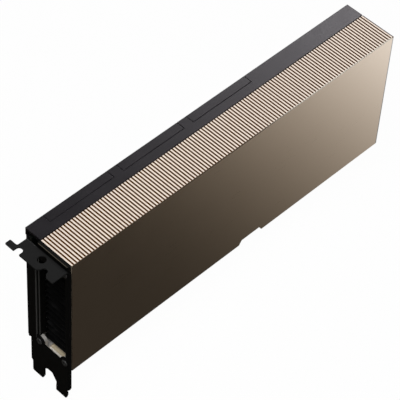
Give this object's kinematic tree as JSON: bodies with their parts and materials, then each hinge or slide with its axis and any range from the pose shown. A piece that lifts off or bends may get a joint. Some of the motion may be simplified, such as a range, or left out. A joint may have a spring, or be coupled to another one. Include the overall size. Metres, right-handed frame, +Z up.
{
  "type": "passive accelerator card",
  "caption": "Full-height two-slot passive accelerator card: ribbed metal shroud over a finned heatsink, capped bridge connectors, slotted bracket, keyed edge connector and tail power socket.",
  "frame": {"origin": "on the underside of the bracket's tab, where it rests on the chassis, midway between the centres of its two screw slots", "axes": "+X along the card from the bracket to the tail end, +Y from the shroud's face to the back cover, +Z up, away from the edge connector"},
  "size_m": [0.2818, 0.0389, 0.122],
  "materials": {
    "shroud_metal": "champagne gold anodised, satin",
    "rail_plastic": "fine matt black",
    "cap_plastic": "fine matt black",
    "cover_metal": "black powder coat",
    "film": "smooth black film",
    "screw_black": "black zinc",
    "screw_steel": "bright nickel",
    "board": "dark solder mask",
    "gold": "gold plating",
    "substrate": "laminate",
    "nickel": "nickel plate",
    "silicon": "polished silicon",
    "paste": "grey paste",
    "moulded": "moulded grey compound",
    "capacitor": "moulded case",
    "pad": "soft grey pad",
    "base_metal": "machined",
    "fin_metal": "black anodised",
    "spring_steel": "spring temper",
    "bracket_steel": "black nickel, satin",
    "collar_plastic": "matt black",
    "foot_steel": "bright zinc",
    "tail_plastic": "matt black",
    "insert_brass": "knurled",
    "socket_plastic": "moulded black",
    "pin_metal": "tin plate"
  },
  "bodies": {
    "root": {"shroud": "shroud_metal", "shroud_screws": "screw_black", "top_rail": "rail_plastic", "bridge_cap_1": "cap_plastic", "bridge_cap_2": "cap_plastic", "bridge_cap_3": "cap_plastic", "back_cover": "cover_metal", "insulating_film": "film", "cover_screws": "screw_black", "board_standoffs": "foot_steel", "circuit_board": "board", "edge_contacts": "gold", "package_substrate": "substrate", "package_stiffener": "nickel", "interposer": "silicon", "processor_die": "silicon", "memory_stacks": "silicon", "thermal_paste": "paste", "chokes": "moulded", "power_stages": "moulded", "bulk_capacitors": "capacitor", "control_chips": "moulded", "thermal_pads": "pad", "heatsink_base": "base_metal", "fin_stack": "fin_metal", "leaf_spring": "spring_steel", "heatsink_screws": "screw_steel", "bracket": "bracket_steel", "bracket_screws": "screw_black", "front_collar": "collar_plastic", "threaded_feet": "foot_steel", "tail_frame": "tail_plastic", "tail_inserts": "insert_brass", "power_socket": "socket_plastic", "power_pins": "pin_metal"}
  },
  "joints": []
}
